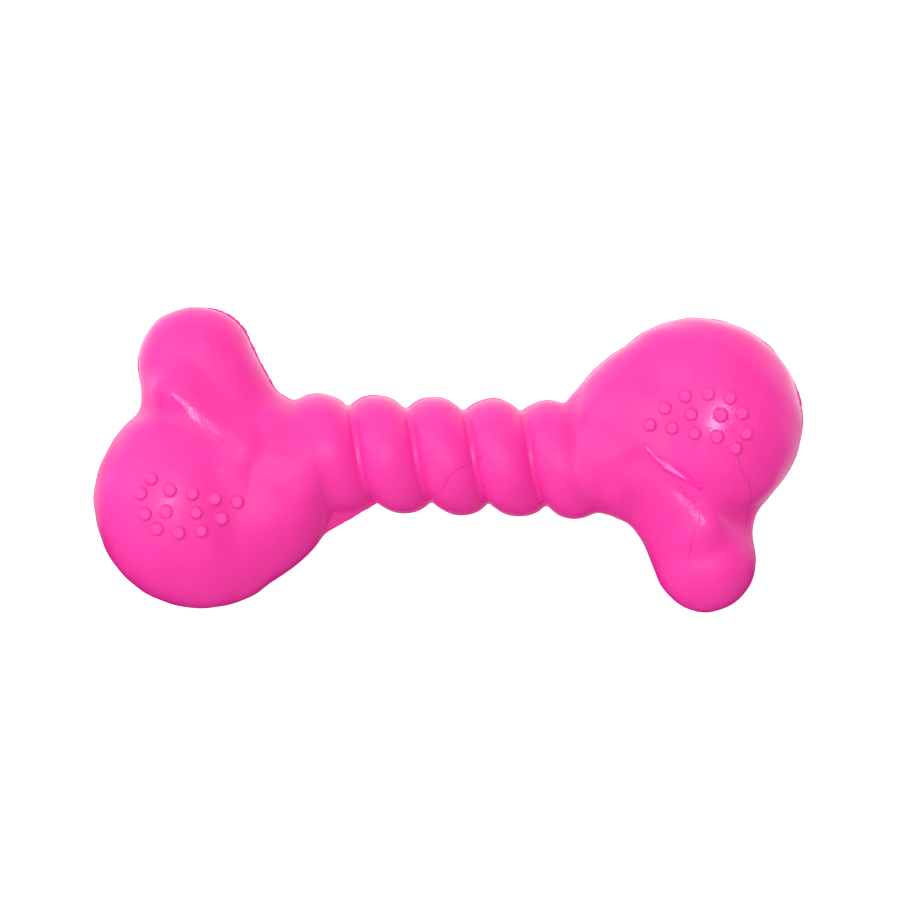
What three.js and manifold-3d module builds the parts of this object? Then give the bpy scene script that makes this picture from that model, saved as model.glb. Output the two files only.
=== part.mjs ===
// A hollow rubber bone for dogs: two moulded half shells, lapped and bonded at a flat seam,
// with a squeaker pressed into the back.
// It lies on its back, with X along the shaft, Y across it and Z up out of the front face, in millimetres.
import * as THREE from 'three';
import { mergeVertices } from 'three/addons/utils/BufferGeometryUtils.js';
import Module from 'manifold-3d';

const wasm = await Module();
wasm.setup();

// The shaft, and the two ends, each placed from its end of the shaft in the seam plane and drawn in shares of
// the left knob's radius. A lobe runs round two circles; a depth is half the thickness there, and a fuller lobe
// has steeper sides
const SHAFT_LENGTH = 52;
const KNOB_RADIUS = 22.7;

function spot(x, y) {
  return { x: x * KNOB_RADIUS, y: y * KNOB_RADIUS };
}

function circle(x, y, radius, depth) {
  return { ...spot(x, y), radius: radius * KNOB_RADIUS, depth: depth * KNOB_RADIUS };
}

const LEFT_END = {
  away: -SHAFT_LENGTH / 2,
  knob: {
    big: circle(-1.167, -0.493, 1, 0.74),
    small: circle(-0.802, -0.449, 0.824, 0.652),
    fullness: 2.4,
    lean: 0.227 / KNOB_RADIUS,
  },
  throat: {
    big: circle(-0.551, -0.326, 0.507, 0.564),
    small: circle(-0.441, -0.247, 0.449, 0.551),
    fullness: 3.5,
    lean: 0,
  },
  arm: {
    big: circle(-1.256, 0.775, 0.542, 0.476),
    small: circle(-0.714, -0.026, 0.467, 0.485),
    fullness: 2.2,
    lean: 0,
  },
  ridge: {
    big: circle(-0.89, 0.009, 0.379, 0.59),
    small: circle(-1.374, 0.485, 0.326, 0.546),
    fullness: 2,
    lean: 0,
  },
  neck: {
    big: circle(-0.661, -0.022, 0.467, 0.546),
    small: circle(-0.176, 0, 0.454, 0.542),
    fullness: 2,
    lean: 0,
  },
  valley: [spot(-1.7, 0.432), spot(-0.705, -0.247), spot(0, 0.106)],
  valleyDepth: 0.586 * KNOB_RADIUS,
  nubPattern: { ...spot(-1.225, -0.511), turn: 0 },
};
const RIGHT_END = {
  away: SHAFT_LENGTH / 2,
  knob: {
    big: circle(1.163, 0.396, 0.965, 0.76),
    small: circle(0.802, 0.344, 0.793, 0.652),
    fullness: 2.4,
    lean: 0.125 / KNOB_RADIUS,
  },
  throat: {
    big: circle(0.555, 0.273, 0.493, 0.564),
    small: circle(0.458, 0.229, 0.449, 0.551),
    fullness: 3.5,
    lean: 0,
  },
  arm: {
    big: circle(1.269, -0.907, 0.471, 0.458),
    small: circle(0.806, 0.022, 0.405, 0.485),
    fullness: 2.2,
    lean: 0,
  },
  ridge: {
    big: circle(0.881, -0.088, 0.388, 0.581),
    small: circle(1.163, -0.551, 0.379, 0.555),
    fullness: 2,
    lean: 0,
  },
  neck: {
    big: circle(0.661, 0.022, 0.467, 0.546),
    small: circle(0.176, 0, 0.454, 0.542),
    fullness: 2,
    lean: 0,
  },
  valley: [spot(1.656, -0.555), spot(0.648, 0.075), spot(0, -0.106)],
  valleyDepth: 0.564 * KNOB_RADIUS,
  nubPattern: { ...spot(1.106, 0.366), turn: Math.PI },
};
const SHOULDER_TILT = THREE.MathUtils.degToRad(50);

// The grip ribs of the shaft run round it as one long screw
const RIB_CREST_RADIUS = 12.4;
const RIB_GROOVE_RADIUS = 9.95;
const RIB_PITCH = 12.2;
const RIB_GROOVE_WIDTH = 1.7;
const RIB_GROOVE_AT = -9.65;
const RIB_BOW = 0.7;
const RIB_RUN_IN = 10;
const RIB_REACH = SHAFT_LENGTH / 2 + RIB_RUN_IN;

// The raised nubs on both faces of each knob, listed round the pattern and then inside it
const NUB_PLACES = [
  spot(-0.396, 0.216), spot(-0.493, 0.075), spot(-0.445, -0.115), spot(-0.33, -0.251),
  spot(-0.128, -0.282), spot(0.084, -0.256), spot(0.269, -0.137), spot(0.405, 0.022),
  spot(0.198, 0.044), spot(-0.013, 0.088), spot(-0.22, 0.115),
  spot(-0.251, -0.088), spot(0.026, -0.088),
];
const NUB_RADIUS = 1.35;
const NUB_DRAFT = 0.25;
const NUB_HEIGHT = 0.9;
const NUB_ROOT = 1.6;
const REST_FLAT = 0.5;

// The thin web that the mould leaves between the left knob and the shaft
const WEB_KNOB_CORNER = spot(-0.044, -0.784);
const WEB_SHAFT_CORNER = spot(0.467, -0.458);
const WEB_INNER_CORNER = spot(0, -0.308);
const WEB_THICKNESS = 2.4;

// The shells, their lapped seam and the clearances
const WALL = 4.5;
const LAP_DEPTH = 1.8;
const BOND_GAP = 0.3;
const SEAT_GAP = 0.3;
const PRESS_GAP = 0.15;

// The squeaker, pressed through a port in the back of the left throat
const PORT_PLACE = spot(-0.476, -0.317);
const PORT_BOSS = 2;
const FLANGE_RADIUS = 6.4;
const FLANGE_THICKNESS = 1.3;
const PORT_LIP = 1.6;
const TUBE_RADIUS = 4.2;
const TUBE_BORE = 3.2;
const BARB_RADIUS = 5.3;
const BARB_LAND = 0.6;
const BARB_TAPER = 1.6;
const SQUEAKER_LENGTH = 14;
const VENT_RADIUS = 1.5;
const VENT_FLOOR = 2;

// The reed lies on a half round plug and is clamped at its inner end
const PLUG_LENGTH = 10;
const PLUG_FLAT = 0.2;
const CHANNEL_WIDTH = 2;
const CHANNEL_DEPTH = 1.3;
const REED_WIDTH = 3.6;
const REED_THICKNESS = 0.25;
const REED_LENGTH = 9.2;
const REED_GAP = 0.2;
const CLAMP_LENGTH = 3;

// How finely round forms are cut into flats
const SKIN_FACETS = 24;
const INNER_FACETS = 10;
const NUB_FACETS = 8;
const SMALL_FACETS = 20;
const RIB_ARCH_STEPS = 6;

const WELD = 1e-4;
const ENDS = [LEFT_END, RIGHT_END];
const FAR = SHAFT_LENGTH + 6 * KNOB_RADIUS;

// Joining and cutting

function weld(geometry) {
  const plain = new THREE.BufferGeometry();
  plain.setAttribute('position', geometry.getAttribute('position'));
  plain.setIndex(geometry.getIndex());
  return mergeVertices(plain, WELD);
}

function solidOf(geometry) {
  const welded = weld(geometry);
  const corners = welded.getIndex().array;
  const triangles = [];
  for (let i = 0; i < corners.length; i += 3) {
    const [a, b, c] = corners.slice(i, i + 3);
    if (a !== b && b !== c && c !== a) {
      triangles.push(a, b, c);
    }
  }
  return new wasm.Manifold(new wasm.Mesh({
    numProp: 3,
    vertProperties: new Float32Array(welded.getAttribute('position').array),
    triVerts: new Uint32Array(triangles),
  }));
}

function geometryOf(solid) {
  const mesh = solid.getMesh();
  const geometry = new THREE.BufferGeometry();
  geometry.setAttribute('position', new THREE.BufferAttribute(mesh.vertProperties, 3));
  geometry.setIndex(new THREE.BufferAttribute(mesh.triVerts, 1));
  return geometry;
}

function slab(low, high) {
  return solidOf(new THREE.BoxGeometry(FAR, FAR, high - low).translate(0, 0, (low + high) / 2));
}

function upright(radius, low, high, x, y) {
  const rod = new THREE.CylinderGeometry(radius, radius, high - low, SMALL_FACETS);
  return solidOf(rod.rotateX(Math.PI / 2).translate(x, y, (low + high) / 2));
}

// The outer form of the bone, and the same form drawn in by an inset

function arcPoints(centre, radius, from, to, facets) {
  const steps = Math.ceil(Math.abs(to - from) / (2 * Math.PI / facets));
  return new THREE.EllipseCurve(0, centre, radius, radius, from, to).getPoints(steps);
}

/** Two round ends and their common tangent, revolved, then filled out to each end's depth.
 *  A lean makes the lobe thicker by that share for each millimetre towards its big end. */
function lobe(end, { big, small, fullness, lean }, inset, facets) {
  const reach = Math.hypot(small.x - big.x, small.y - big.y);
  const slope = Math.asin(THREE.MathUtils.clamp((big.radius - small.radius) / reach, -1, 1));
  const bigRadius = big.radius - inset;
  const smallRadius = small.radius - inset;
  const profile = [
    ...arcPoints(0, bigRadius, -Math.PI / 2, slope, facets),
    ...arcPoints(reach, smallRadius, slope, Math.PI / 2, facets),
  ];
  const geometry = new THREE.LatheGeometry(profile, facets);
  const tangentStart = bigRadius * Math.sin(slope);
  const tangentEnd = reach + smallRadius * Math.sin(slope);
  const place = geometry.getAttribute('position');
  for (let i = 0; i < place.count; i += 1) {
    const [across, along, up] = [place.getX(i), place.getY(i), place.getZ(i)];
    const share = THREE.MathUtils.clamp((along - tangentStart) / (tangentEnd - tangentStart), 0, 1);
    const centre = reach * share;
    const radius = THREE.MathUtils.lerp(bigRadius, smallRadius, share);
    const depth = THREE.MathUtils.lerp(big.depth, small.depth, THREE.MathUtils.smoothstep(share, 0, 1)) - inset;
    const level = Math.hypot(across, along - centre) / radius;
    const filled = (level ** fullness + Math.abs(up / radius) ** fullness) ** (-1 / fullness);
    place.setXYZ(
      i,
      across * filled,
      centre + (along - centre) * filled,
      up * filled * (depth / radius) * (1 - lean * along),
    );
  }
  geometry.rotateZ(Math.atan2(small.y - big.y, small.x - big.x) - Math.PI / 2);
  return solidOf(geometry.translate(end.away + big.x, big.y, 0));
}

/** The space on one face past a sloping wall that rises from a line in the valley. */
function pastWall(end, from, to, face, inset) {
  const heading = Math.atan2(to.y - from.y, to.x - from.x);
  const out = new THREE.Vector3(
    -Math.sin(heading) * Math.sin(SHOULDER_TILT),
    Math.cos(heading) * Math.sin(SHOULDER_TILT),
    face * Math.cos(SHOULDER_TILT),
  );
  const block = new THREE.BoxGeometry(FAR, FAR, FAR).translate(0, 0, FAR / 2 - inset);
  block.applyQuaternion(new THREE.Quaternion().setFromUnitVectors(new THREE.Vector3(0, 0, 1), out));
  return solidOf(block.translate(end.away + from.x, from.y, face * end.valleyDepth));
}

/** The space over the limb, where the knob's shoulder stops short of it. */
function overLimb(end, face, inset) {
  const [outer, bend, inner] = end.valley;
  return pastWall(end, outer, bend, face, inset).intersect(pastWall(end, bend, inner, face, inset));
}

/** One end of the bone: the knob and its throat, cut back to the shoulder, and the limb that bends into the arm. */
function boneEnd(end, inset, facets) {
  return lobe(end, end.knob, inset, facets)
    .add(lobe(end, end.throat, inset, facets))
    .subtract(overLimb(end, 1, inset))
    .subtract(overLimb(end, -1, inset))
    .add(lobe(end, end.arm, inset, facets))
    .add(lobe(end, end.ridge, inset, facets))
    .add(lobe(end, end.neck, inset, facets));
}

/** One turn of the rib's outline: a low arch, with the groove's flat between it and the next. */
function ribOutline() {
  const halfArch = (RIB_PITCH - RIB_GROOVE_WIDTH) / 2;
  const rise = RIB_CREST_RADIUS - RIB_GROOVE_RADIUS;
  const archRadius = (halfArch ** 2 + rise ** 2) / (2 * rise);
  const halfAngle = Math.atan2(halfArch, archRadius - rise);
  const outline = [];
  for (let step = 0; step <= RIB_ARCH_STEPS; step += 1) {
    const angle = halfAngle * (2 * step / RIB_ARCH_STEPS - 1);
    outline.push({
      along: RIB_PITCH / 2 + archRadius * Math.sin(angle),
      radius: RIB_CREST_RADIUS - archRadius * (1 - Math.cos(angle)),
    });
  }
  return outline;
}

/** The ribbed shaft: a tube whose rows climb one pitch in each turn, so that the rib joins into one screw. */
function ribbedShaft() {
  const outline = ribOutline();
  const runStart = RIB_GROOVE_AT - RIB_PITCH * Math.ceil((RIB_REACH + RIB_GROOVE_AT) / RIB_PITCH + 1);
  const turns = Math.ceil((RIB_REACH - runStart) / RIB_PITCH);
  const rows = turns * outline.length;
  const tube = new THREE.CylinderGeometry(1, 1, 1, SKIN_FACETS, rows, true);
  const place = tube.getAttribute('position');
  const around = tube.getAttribute('uv');
  for (let i = 0; i < place.count; i += 1) {
    const turn = around.getX(i);
    const row = Math.round(around.getY(i) * rows);
    const point = outline[row % outline.length];
    const pitches = Math.floor(row / outline.length) + turn;
    const lead = RIB_BOW * Math.abs(Math.sin(2 * Math.PI * turn));
    place.setXYZ(
      i,
      runStart + RIB_PITCH * pitches + point.along - lead,
      point.radius * Math.cos(2 * Math.PI * turn),
      point.radius * Math.sin(2 * Math.PI * turn),
    );
  }
  return solidOf(closeRims(weld(tube)));
}

/** Closes the two open rims of a tube along X with fans to points on its axis. */
function closeRims(tube) {
  const corners = Array.from(tube.getIndex().array);
  const place = tube.getAttribute('position');
  const points = Array.from(place.array);
  const edges = new Set();
  for (let i = 0; i < corners.length; i += 3) {
    for (let side = 0; side < 3; side += 1) {
      edges.add(`${corners[i + side]} ${corners[i + (side + 1) % 3]}`);
    }
  }
  const open = [...edges]
    .map((edge) => edge.split(' ').map(Number))
    .filter(([a, b]) => !edges.has(`${b} ${a}`));
  for (const side of [-1, 1]) {
    const rim = open.filter(([a]) => Math.sign(place.getX(a)) === side);
    const centre = points.length / 3;
    const middle = rim.reduce((sum, [a]) => sum + place.getX(a), 0) / rim.length;
    points.push(middle, 0, 0);
    rim.forEach(([a, b]) => corners.push(b, a, centre));
  }
  const closed = new THREE.BufferGeometry();
  closed.setAttribute('position', new THREE.Float32BufferAttribute(points, 3));
  closed.setIndex(corners);
  return closed;
}

function webPlate() {
  const outline = new THREE.Shape([WEB_INNER_CORNER, WEB_KNOB_CORNER, WEB_SHAFT_CORNER]
    .map((corner) => new THREE.Vector2(LEFT_END.away + corner.x, corner.y)));
  const plate = new THREE.ExtrudeGeometry(outline, { depth: WEB_THICKNESS, bevelEnabled: false });
  return solidOf(plate.translate(0, 0, -WEB_THICKNESS / 2));
}

function outerForm() {
  return ENDS.reduce((form, end) => form.add(boneEnd(end, 0, SKIN_FACETS)), ribbedShaft()).add(webPlate());
}

function insetForm(inset) {
  const core = new THREE.CylinderGeometry(
    RIB_GROOVE_RADIUS - inset,
    RIB_GROOVE_RADIUS - inset,
    2 * RIB_REACH,
    INNER_FACETS,
  );
  const shaft = solidOf(core.rotateZ(Math.PI / 2));
  return ENDS.reduce((form, end) => form.add(boneEnd(end, inset, INNER_FACETS)), shaft);
}

// Nubs and the port, seated on the skin by looking straight down on it

function skinDepth(skin, x, y, face) {
  const ray = new THREE.Raycaster(new THREE.Vector3(x, y, face * FAR), new THREE.Vector3(0, 0, -face));
  return face * ray.intersectObject(skin)[0].point.z;
}

function nubSpots(skin) {
  return ENDS.flatMap((end) => NUB_PLACES.flatMap((place) => {
    const turn = end.nubPattern.turn;
    const x = end.away + end.nubPattern.x + place.x * Math.cos(turn) - place.y * Math.sin(turn);
    const y = end.nubPattern.y + place.x * Math.sin(turn) + place.y * Math.cos(turn);
    return [-1, 1].map((face) => ({ x, y, face, seat: skinDepth(skin, x, y, face) }));
  }));
}

function nub({ x, y, face, seat }) {
  const stud = new THREE.CylinderGeometry(
    NUB_RADIUS - NUB_DRAFT,
    NUB_RADIUS + NUB_DRAFT,
    NUB_ROOT + NUB_HEIGHT,
    NUB_FACETS,
  );
  stud.rotateX(face * Math.PI / 2);
  return solidOf(stud.translate(x, y, face * (seat + (NUB_HEIGHT - NUB_ROOT) / 2)));
}

/** The form with its nubs; the highest of them are levelled, so that the bone rests on several at once. */
function nubbedForm(form, skin) {
  const spots = nubSpots(skin);
  const restDepth = Math.max(...spots.map((spot) => spot.seat)) + NUB_HEIGHT - REST_FLAT;
  return spots.reduce((nubbed, spot) => nubbed.add(nub(spot)), form).intersect(slab(-restDepth, restDepth));
}

const form = outerForm();
const skin = new THREE.Mesh(geometryOf(form), new THREE.MeshBasicMaterial({ side: THREE.DoubleSide }));
const nubbed = nubbedForm(form, skin);

// Where the squeaker sits: its flange ends flush with the lowest point of the port's rim

const portX = LEFT_END.away + PORT_PLACE.x;
const portY = PORT_PLACE.y;
const portRadius = FLANGE_RADIUS + SEAT_GAP;
const rimDepths = Array.from({ length: SMALL_FACETS }, (_, i) => {
  const angle = 2 * Math.PI * i / SMALL_FACETS;
  return skinDepth(skin, portX + portRadius * Math.cos(angle), portY + portRadius * Math.sin(angle), -1);
});
const portFace = -Math.min(...rimDepths);
const portSeat = portFace + FLANGE_THICKNESS + SEAT_GAP;
const portInside = portSeat + PORT_LIP;
const squeakerTop = portFace + SQUEAKER_LENGTH;

// The two half shells, with a boss left inside round the port

const boss = upright(portRadius + PORT_BOSS, -FAR, portInside, portX, portY);
const cavity = insetForm(WALL).subtract(boss);

function frontShell() {
  const lipWall = insetForm((WALL + BOND_GAP) / 2).subtract(cavity);
  const lip = lipWall.intersect(slab(-LAP_DEPTH, WALL));
  return nubbed.intersect(slab(BOND_GAP / 2, FAR)).subtract(cavity).add(lip);
}

function backShell() {
  const rebate = insetForm((WALL - BOND_GAP) / 2).intersect(slab(-LAP_DEPTH - BOND_GAP, WALL));
  return nubbed.intersect(slab(-FAR, -BOND_GAP / 2))
    .subtract(cavity)
    .subtract(rebate)
    .subtract(upright(portRadius, -FAR, portSeat, portX, portY))
    .subtract(upright(TUBE_RADIUS + SEAT_GAP, -FAR, 0, portX, portY))
    .subtract(upright(BARB_RADIUS + 2 * SEAT_GAP, portInside, 0, portX, portY));
}

// The squeaker's own pieces

function squeakerBody() {
  const barb = portInside + SEAT_GAP;
  const outline = [
    [VENT_RADIUS, portFace],
    [FLANGE_RADIUS, portFace],
    [FLANGE_RADIUS, portFace + FLANGE_THICKNESS],
    [TUBE_RADIUS, portFace + FLANGE_THICKNESS],
    [TUBE_RADIUS, barb],
    [BARB_RADIUS, barb],
    [BARB_RADIUS, barb + BARB_LAND],
    [TUBE_RADIUS, barb + BARB_LAND + BARB_TAPER],
    [TUBE_RADIUS, squeakerTop],
    [TUBE_BORE, squeakerTop],
    [TUBE_BORE, portFace + VENT_FLOOR],
    [VENT_RADIUS, portFace + VENT_FLOOR],
    [VENT_RADIUS, portFace],
  ].map(([radius, z]) => new THREE.Vector2(radius, z));
  const turned = new THREE.LatheGeometry(outline, SMALL_FACETS).rotateX(Math.PI / 2);
  return solidOf(turned.translate(portX, portY, 0)).add(reedClamp());
}

/** A land across the bore that holds the reed's root down on the plug. */
function reedClamp() {
  const foot = PLUG_FLAT + REED_THICKNESS + 2 * REED_GAP;
  const block = new THREE.BoxGeometry(2 * TUBE_BORE, TUBE_BORE, CLAMP_LENGTH);
  block.translate(portX, portY + foot + TUBE_BORE / 2, squeakerTop - CLAMP_LENGTH / 2);
  const tubeMiddle = (TUBE_BORE + TUBE_RADIUS) / 2;
  return solidOf(block).intersect(upright(tubeMiddle, squeakerTop - CLAMP_LENGTH, squeakerTop, portX, portY));
}

function reedPlug() {
  const low = squeakerTop - PLUG_LENGTH;
  const overFlat = new THREE.BoxGeometry(2 * TUBE_BORE, TUBE_BORE, 2 * PLUG_LENGTH);
  overFlat.translate(portX, portY + PLUG_FLAT + TUBE_BORE / 2, low + PLUG_LENGTH / 2);
  const channelTop = squeakerTop - CLAMP_LENGTH;
  const channel = new THREE.BoxGeometry(CHANNEL_WIDTH, 2 * CHANNEL_DEPTH, PLUG_LENGTH);
  channel.translate(portX, portY + PLUG_FLAT, channelTop - PLUG_LENGTH / 2);
  return upright(TUBE_BORE - PRESS_GAP, low, squeakerTop, portX, portY)
    .subtract(solidOf(overFlat))
    .subtract(solidOf(channel));
}

function reedTongue() {
  const tongue = new THREE.BoxGeometry(REED_WIDTH, REED_THICKNESS, REED_LENGTH);
  const middle = PLUG_FLAT + REED_GAP + REED_THICKNESS / 2;
  return solidOf(tongue.translate(portX, portY + middle, squeakerTop - REED_GAP - REED_LENGTH / 2));
}

// Materials and assembly

function finish(color, roughness) {
  return new THREE.MeshStandardMaterial({ color, roughness, metalness: 0 });
}

const pinkRubber = finish('#f93fa9', 0.45);
const naturalPlastic = finish('#efe9dc', 0.4);
const reedFilm = finish('#d9cfae', 0.25);

const pieces = [
  ['front_shell', frontShell(), pinkRubber],
  ['back_shell', backShell(), pinkRubber],
  ['squeaker_body', squeakerBody(), naturalPlastic],
  ['reed_plug', reedPlug(), naturalPlastic],
  ['reed', reedTongue(), reedFilm],
];

const bone = new THREE.Group();
for (const [name, solid, material] of pieces) {
  const mesh = new THREE.Mesh(geometryOf(solid), material);
  mesh.name = name;
  bone.add(mesh);
}

// The origin is the middle of the bone's outline, on the surface that it lies on
const box = new THREE.Box3().setFromObject(bone);
const middle = box.getCenter(new THREE.Vector3());
bone.children.forEach((mesh) => mesh.geometry.translate(-middle.x, -middle.y, -box.min.z));

export default bone;
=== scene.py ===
"""The looks of a hollow rubber bone for dogs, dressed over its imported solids.

The rubber skin is one distance field: two knobs, two limbs and a screw-ribbed shaft, run together with soft
creases, with nubs, shoulder bars, a web and a port. It is netted into a front and a back half that meet at a
flat seam, and a thin fin of mould flash runs round that seam.
"""
import math
from collections import namedtuple

import bmesh
import bpy
import numpy as np
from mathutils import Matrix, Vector


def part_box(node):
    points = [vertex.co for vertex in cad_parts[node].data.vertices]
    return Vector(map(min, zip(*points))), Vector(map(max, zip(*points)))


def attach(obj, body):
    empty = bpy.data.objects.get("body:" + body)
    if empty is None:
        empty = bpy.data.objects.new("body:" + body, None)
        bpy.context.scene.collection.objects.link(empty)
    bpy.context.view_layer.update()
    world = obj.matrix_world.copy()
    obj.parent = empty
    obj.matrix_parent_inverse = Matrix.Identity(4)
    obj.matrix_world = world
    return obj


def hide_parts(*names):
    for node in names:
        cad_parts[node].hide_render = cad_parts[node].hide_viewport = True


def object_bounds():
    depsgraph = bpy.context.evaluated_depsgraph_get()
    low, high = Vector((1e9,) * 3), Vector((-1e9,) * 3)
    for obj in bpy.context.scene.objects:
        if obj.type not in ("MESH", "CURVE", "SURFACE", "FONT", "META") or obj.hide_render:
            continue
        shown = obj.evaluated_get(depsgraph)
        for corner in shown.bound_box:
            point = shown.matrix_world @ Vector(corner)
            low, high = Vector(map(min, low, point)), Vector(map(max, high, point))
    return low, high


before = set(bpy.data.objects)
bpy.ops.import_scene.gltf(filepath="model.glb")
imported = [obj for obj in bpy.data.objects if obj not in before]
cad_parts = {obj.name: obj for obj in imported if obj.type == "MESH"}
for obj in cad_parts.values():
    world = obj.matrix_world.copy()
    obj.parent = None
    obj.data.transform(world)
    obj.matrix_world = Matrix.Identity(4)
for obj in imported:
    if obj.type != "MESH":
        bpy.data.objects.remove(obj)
cad_low, cad_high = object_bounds()

MM = 0.001

# The bone in millimetres, from the middle of its shaft in the seam plane; a depth is half the thickness there
Round = namedtuple("Round", "x y radius depth")
Lobe = namedtuple("Lobe", "big small fullness")
# The third number of each place on a worn path is the half width of the wear there
Worn = namedtuple("Worn", "path polish")
Sheen = namedtuple("Sheen", "x y reach polish")
End = namedtuple(
    "End",
    "knob lean throat arm ridge neck valley valley_depth shoulder crease notch"
    " crest shoulder_bar sheen nub_x nub_y nub_turn",
)
LEFT_END = End(
    knob=Lobe(Round(-52.5, -11.2, 22.7, 16.8), Round(-44.2, -10.2, 18.7, 14.8), 2.4),
    lean=0.010,
    throat=Lobe(Round(-38.5, -7.4, 11.5, 12.8), Round(-36.0, -5.6, 10.2, 12.5), 3.5),
    arm=Lobe(Round(-54.5, 17.6, 12.3, 10.5), Round(-42.2, -0.6, 10.6, 10.5), 2.2),
    ridge=Lobe(Round(-46.2, 0.2, 7.0, 13.2), Round(-58.4, 12.2, 6.2, 12.9), 2.8),
    neck=Lobe(Round(-41.0, -0.5, 10.6, 12.4), Round(-30.0, 0.0, 10.3, 12.3), 2.0),
    valley=[(-64.6, 9.8), (-42.0, -5.6), (-26.0, 2.4)],
    valley_depth=12.7,
    shoulder=3.4,
    crease=3.4,
    notch=5.0,
    crest=Worn([(-57.8, 10.8, 1.0), (-52.0, 5.4, 0.8), (-48.0, 1.7, 0.2)], 0.7),
    shoulder_bar=Worn([(-52.4, 0.2, 0.1), (-49.6, -2.5, 0.4), (-47.3, -4.6, 0.1)], 0.5),
    sheen=Sheen(-59.6, -11.4, 6.0, 0.6),
    nub_x=-53.8,
    nub_y=-11.6,
    nub_turn=0,
)
RIGHT_END = End(
    knob=Lobe(Round(52.4, 9.0, 21.9, 17.25), Round(44.2, 7.8, 18.0, 14.8), 2.4),
    lean=0.0055,
    throat=Lobe(Round(38.6, 6.2, 11.2, 12.8), Round(36.4, 5.2, 10.2, 12.5), 3.5),
    arm=Lobe(Round(54.8, -20.6, 10.7, 10.4), Round(44.3, 0.5, 9.2, 11.0), 2.2),
    ridge=Lobe(Round(46.0, -2.0, 7.8, 13.0), Round(52.4, -12.5, 7.6, 12.8), 3.0),
    neck=Lobe(Round(41.0, 0.5, 10.6, 12.4), Round(30.0, 0.0, 10.3, 12.3), 2.0),
    valley=[(63.1, -13.4), (40.2, 0.9), (26.0, -2.4)],
    valley_depth=12.8,
    shoulder=1.2,
    crease=1.8,
    notch=9.0,
    crest=Worn([(48.2, -5.4, 0.6), (50.6, -8.6, 1.2), (53.4, -12.6, 1.0)], 0.7),
    shoulder_bar=Worn([(41.2, 2.8, 0.0), (45.8, -0.9, 0.6), (48.8, -2.3, 0.7), (53.2, -5.0, 0.1)], 0.75),
    sheen=Sheen(57.0, 9.1, 5.0, 1.0),
    nub_x=51.1,
    nub_y=8.3,
    nub_turn=math.pi,
)
ENDS = (LEFT_END, RIGHT_END)
THROAT_CREASE = 6.0
SHOULDER_TILT = math.radians(44)
NOTCH_HEIGHT = 6.0
RIDGE_CREASE = 2.5
LIMB_CREASE = 4.0
NECK_CREASE = 1.0

RIB_CREST = 12.4
RIB_GROOVE = 9.95
RIB_PITCH = 12.2
RIB_GROOVE_WIDTH = 1.0
RIB_GROOVE_AT = -9.65
RIB_BOW = 0.7
RIB_CORNER = 0.15
RIB_REACH = 40.0
RIB_SEEN = 27.0

NUB_PLACES = [
    (-9, 4.9), (-11.2, 1.7), (-10.1, -2.6), (-7.5, -5.7), (-2.9, -6.4), (1.9, -5.8), (6.1, -3.1),
    (9.2, 0.5), (4.5, 1), (-0.3, 2), (-5, 2.6),
    (-5.7, -2), (0.6, -2),
]
NUB_RADIUS = 1.3
NUB_HEIGHT = 0.75
NUB_FILLET = 0.25
EDGE_ROUND = 0.3
BAR_REACH = 3.0
BAR_RISE = 0.36
BAR_CREASE = 0.12
BAR_MARGIN = 0.3
WEAR_FADE = 0.8
GROOVE_POLISH = 0.45

WEB_CORNERS = [(-26.0, -7.0), (-27.0, -17.8), (-15.4, -10.4)]
WEB_THICKNESS = 2.4
WEB_EDGE = 0.6
WEB_TAPER = 0.7
WEB_FILLET = 0.8

WALL = 4.5
PORT_X = -36.8
PORT_Y = -7.2
SEAT_GAP = 0.3
FLANGE_THICKNESS = 1.3
PORT_LIP = 1.6
PORT_BOSS = 2.0
TUBE_RADIUS = 4.2
PORT_EDGE = 0.5

UNEVEN_WAVES = 14
UNEVEN_HEIGHT = 0.035
UNEVEN_LENGTHS = (7.0, 26.0)
UNEVEN_SEED = 11

SKIN_CELL = 0.45
FINE_MARGIN = 0.7
CAVITY_CELL = 1.3
NET_ROUNDS = 3
SLOPE_STEP = 0.02
LEAST_SLOPE = 0.05
HALVINGS = 40
GRID_MARGIN = 2.5
DETAIL_BAND = 3.0
SEAM_SNAP = 1e-4

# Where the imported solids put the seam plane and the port
port_low, port_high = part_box("squeaker_body")
SHIFT = np.array([
    (port_low.x + port_high.x) / 2 / MM - PORT_X,
    (port_low.y + port_high.y) / 2 / MM - PORT_Y,
    (cad_low.z + cad_high.z) / 2 / MM,
])
FLANGE_RADIUS = (port_high.x - port_low.x) / 2 / MM
PORT_FACE = port_low.z / MM - SHIFT[2]
PORT_SEAT = PORT_FACE + FLANGE_THICKNESS + SEAT_GAP
REST_DEPTH = (cad_high.z - cad_low.z) / 2 / MM


# The form of the rubber as distances in millimetres, below zero inside

def run_together(first, second, crease):
    """The union of two forms, with a soft crease of that width where they meet."""
    near = np.maximum(crease - np.abs(first - second), 0) / crease
    return np.minimum(first, second) - near * near * crease / 4


def cut_away(form, tool, edge):
    """A form with a tool's shape taken out of it, and a soft edge round the cut."""
    return -run_together(-form, tool, edge)


def lobe_outline(x, y, big, small):
    """The distance to the outline round two circles, and how far along from one to the other, from 0 to 1."""
    reach = math.hypot(small.x - big.x, small.y - big.y)
    ahead = ((small.x - big.x) / reach, (small.y - big.y) / reach)
    along = (x - big.x) * ahead[0] + (y - big.y) * ahead[1]
    across = np.abs((y - big.y) * ahead[0] - (x - big.x) * ahead[1])
    taper = (big.radius - small.radius) / reach
    level = math.sqrt(1 - taper * taper)
    side = along * level - across * taper
    on_big = np.hypot(across, along) - big.radius
    on_small = np.hypot(across, along - reach) - small.radius
    on_side = across * level + along * taper - big.radius
    outline = np.where(side < 0, on_big, np.where(side > level * reach, on_small, on_side))
    return outline, along / reach


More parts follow.
